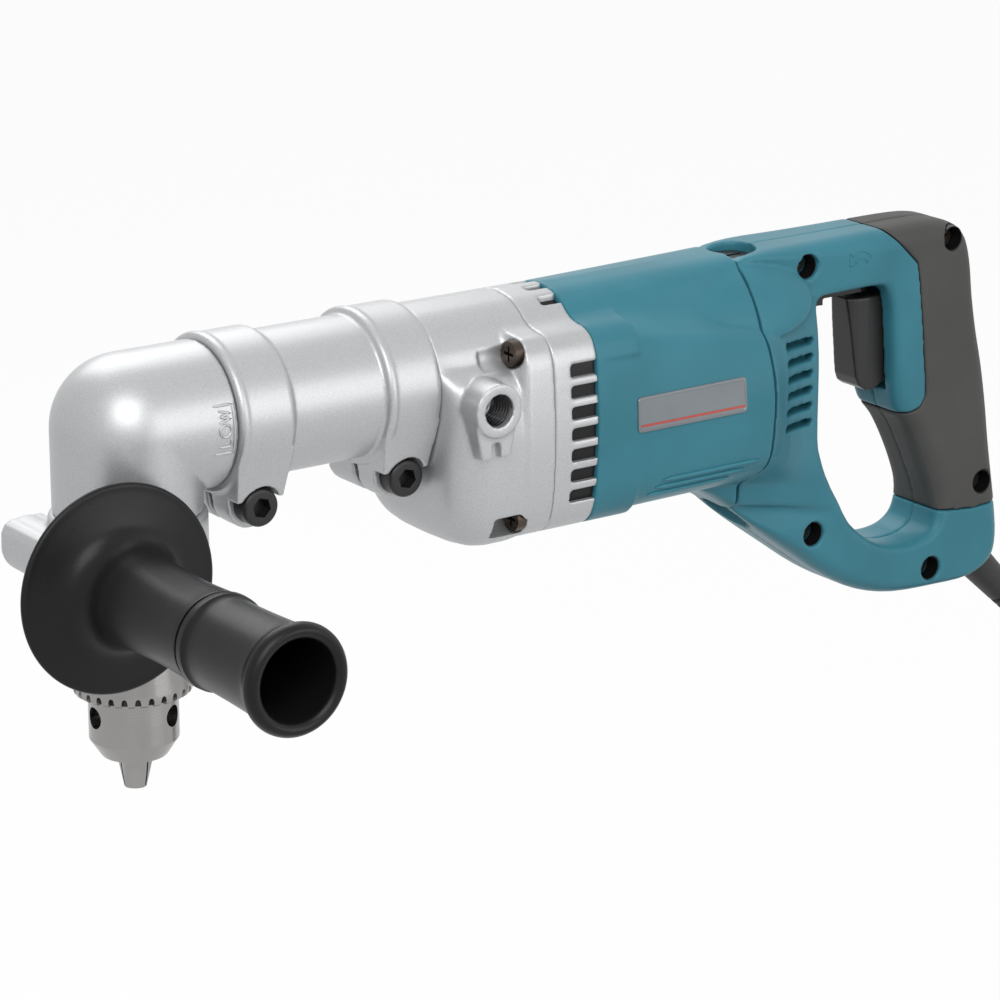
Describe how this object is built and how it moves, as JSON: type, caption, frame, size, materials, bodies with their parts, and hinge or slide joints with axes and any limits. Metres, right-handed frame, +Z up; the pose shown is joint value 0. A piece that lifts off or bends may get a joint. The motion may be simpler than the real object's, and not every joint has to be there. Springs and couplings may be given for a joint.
{
  "type": "right angle drill",
  "caption": "Corded right angle drill: motor with D handle, gearbox, swivelling angle head, keyed chuck and side handle, with its cord coiled.",
  "frame": {"origin": "middle of the rear grip of the D handle", "axes": "+X runs rearwards along the motor, +Z up with the chuck pointing down, the side handle on the -Y side"},
  "size_m": [0.6036, 0.2075, 0.4134],
  "materials": {
    "cast_aluminium": "satin",
    "blue_shell": "moulded",
    "soft_cover": "matte",
    "black_plastic": "moulded",
    "steel": "turned",
    "dark_steel": "blackened",
    "copper_wire": "varnished",
    "carbon": "matte",
    "cord_rubber": "matte"
  },
  "bodies": {
    "housing": {"gear_housing": "cast_aluminium", "fan_casing": "cast_aluminium", "gear_plate": "cast_aluminium", "housing_screws": "dark_steel", "motor_housing": "blue_shell", "handle_left": "blue_shell", "handle_right": "blue_shell", "grip_left": "soft_cover", "grip_right": "soft_cover", "handle_screws": "dark_steel", "switch_body": "black_plastic", "cord_guard": "cord_rubber", "stator_core": "steel", "field_coils": "copper_wire", "brush_holders": "copper_wire", "carbon_brushes": "carbon", "brush_caps": "black_plastic", "shaft_bearings": "steel", "joint_sleeve": "cast_aluminium", "clamp_bolts": "dark_steel", "cord_lead": "cord_rubber", "cord_coil": "cord_rubber", "cord_tail": "cord_rubber", "cord_tie": "cord_rubber", "plug": "cord_rubber"},
    "armature": {"armature_shaft": "steel", "rotor_core": "steel", "rotor_windings": "copper_wire", "commutator": "copper_wire", "cooling_fan": "black_plastic"},
    "intermediate": {"intermediate_shaft": "steel", "intermediate_gear": "steel"},
    "output": {"output_shaft": "steel", "output_gear": "steel"},
    "head": {"angle_head": "cast_aluminium", "head_bearings": "steel", "bearing_rings": "cast_aluminium", "grip_base": "cast_aluminium", "side_handle": "black_plastic", "handle_stud": "steel"},
    "pinion": {"bevel_pinion": "steel"},
    "chuck": {"spindle": "steel", "bevel_gear": "steel", "chuck_body": "steel"},
    "chuck_ring": {"chuck_sleeve": "steel", "chuck_nut": "steel"},
    "jaw_1": {"chuck_jaw_1": "steel"},
    "jaw_2": {"chuck_jaw_2": "steel"},
    "jaw_3": {"chuck_jaw_3": "steel"},
    "trigger": {"trigger": "black_plastic"},
    "lever": {"reversing_lever": "black_plastic"}
  },
  "joints": [
    {"name": "motor_spin", "type": "hinge", "parent": "housing", "child": "armature", "pos_m": [-0.162, 0, 0.04], "axis": [1, 0, 0], "continuous": true},
    {"name": "intermediate_spin", "type": "hinge", "parent": "housing", "child": "intermediate", "pos_m": [-0.252, 0.01568, 0.04657], "axis": [1, 0, 0], "continuous": true},
    {"name": "output_spin", "type": "hinge", "parent": "housing", "child": "output", "pos_m": [-0.282, 0, 0.062], "axis": [1, 0, 0], "continuous": true},
    {"name": "head_swivel", "type": "hinge", "parent": "housing", "child": "head", "pos_m": [-0.348, 0, 0.062], "axis": [1, 0, 0], "range_deg": [-180, 180]},
    {"name": "bevel_pinion_spin", "type": "hinge", "parent": "head", "child": "pinion", "pos_m": [-0.352, 0, 0.062], "axis": [1, 0, 0], "continuous": true},
    {"name": "spindle_spin", "type": "hinge", "parent": "head", "child": "chuck", "pos_m": [-0.392, 0, 0.002], "axis": [0, 0, 1], "continuous": true},
    {"name": "chuck_sleeve_turn", "type": "hinge", "parent": "chuck", "child": "chuck_ring", "pos_m": [-0.392, 0, -0.034], "axis": [0, 0, 1], "range_deg": [0, 2571.43]},
    {"name": "trigger_pull", "type": "slide", "parent": "housing", "child": "trigger", "axis": [1, 0, 0], "range_m": [0, 0.006], "stiffness_N_per_m": 900, "springref_m": -0.004},
    {"name": "reversing_lever_swing", "type": "hinge", "parent": "housing", "child": "lever", "pos_m": [-0.046, 0, 0.065], "axis": [0, 0, 1], "range_deg": [-12, 12]},
    {"name": "jaw_1_slide", "type": "slide", "parent": "chuck", "child": "jaw_1", "axis": [-0.1082, 0.2351, 0.9659], "range_m": [0, 0.015]},
    {"name": "jaw_2_slide", "type": "slide", "parent": "chuck", "child": "jaw_2", "axis": [-0.1496, -0.2112, 0.9659], "range_m": [0, 0.015]},
    {"name": "jaw_3_slide", "type": "slide", "parent": "chuck", "child": "jaw_3", "axis": [0.2577, -0.0239, 0.9659], "range_m": [0, 0.015]}
  ],
  "couplings": [
    {"joint": "intermediate_spin", "follows": "motor_spin", "ratio": -0.30769},
    {"joint": "output_spin", "follows": "motor_spin", "ratio": 0.10256},
    {"joint": "bevel_pinion_spin", "follows": "motor_spin", "ratio": 0.10256},
    {"joint": "spindle_spin", "follows": "motor_spin", "ratio": 0.051282},
    {"joint": "jaw_1_slide", "follows": "chuck_sleeve_turn", "m_per_rad": 0.00033422},
    {"joint": "jaw_2_slide", "follows": "chuck_sleeve_turn", "m_per_rad": 0.00033422},
    {"joint": "jaw_3_slide", "follows": "chuck_sleeve_turn", "m_per_rad": 0.00033422}
  ]
}
